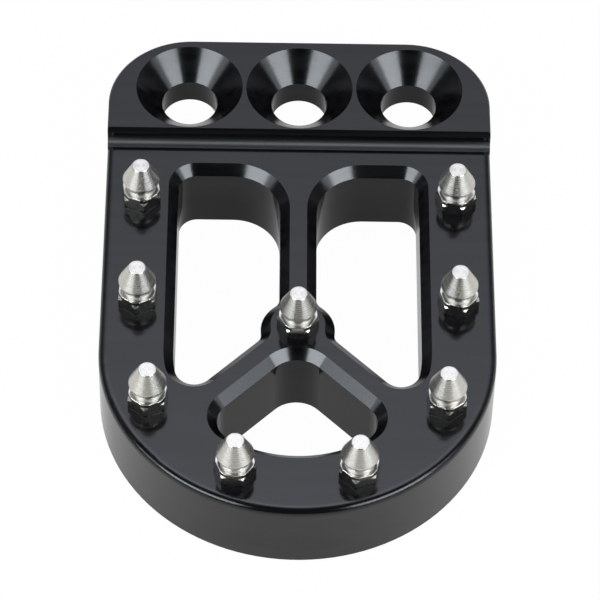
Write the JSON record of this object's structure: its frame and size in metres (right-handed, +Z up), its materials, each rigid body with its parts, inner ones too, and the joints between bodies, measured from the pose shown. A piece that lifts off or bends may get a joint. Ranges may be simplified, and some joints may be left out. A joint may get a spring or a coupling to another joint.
{
  "type": "brake pedal tip",
  "caption": "Foot plate that screws to the end of a motorbike's rear brake pedal arm; open windows shed mud and pointed studs grip the boot sole.",
  "frame": {"origin": "axis of the middle screw hole on the underside of the tab, where the tip sits on the pedal arm", "axes": "+Z up out of the tread, the way the studs point; +Y towards the tab's back edge, so the round front lies towards -Y; +X to the right"},
  "size_m": [0.065, 0.097, 0.0218],
  "materials": {
    "black_anodised_aluminium": "satin black anodised over fine milling marks",
    "stainless_stud": "turned, satin",
    "stainless_nut": "polished"
  },
  "bodies": {
    "root": {"pedal_body": "black_anodised_aluminium", "stud_1": "stainless_stud", "stud_2": "stainless_stud", "stud_3": "stainless_stud", "stud_4": "stainless_stud", "stud_5": "stainless_stud", "stud_6": "stainless_stud", "stud_7": "stainless_stud", "stud_8": "stainless_stud", "stud_9": "stainless_stud", "nut_1": "stainless_nut", "nut_2": "stainless_nut", "nut_3": "stainless_nut", "nut_4": "stainless_nut", "nut_5": "stainless_nut", "nut_6": "stainless_nut", "nut_7": "stainless_nut", "nut_8": "stainless_nut", "nut_9": "stainless_nut"}
  },
  "joints": []
}
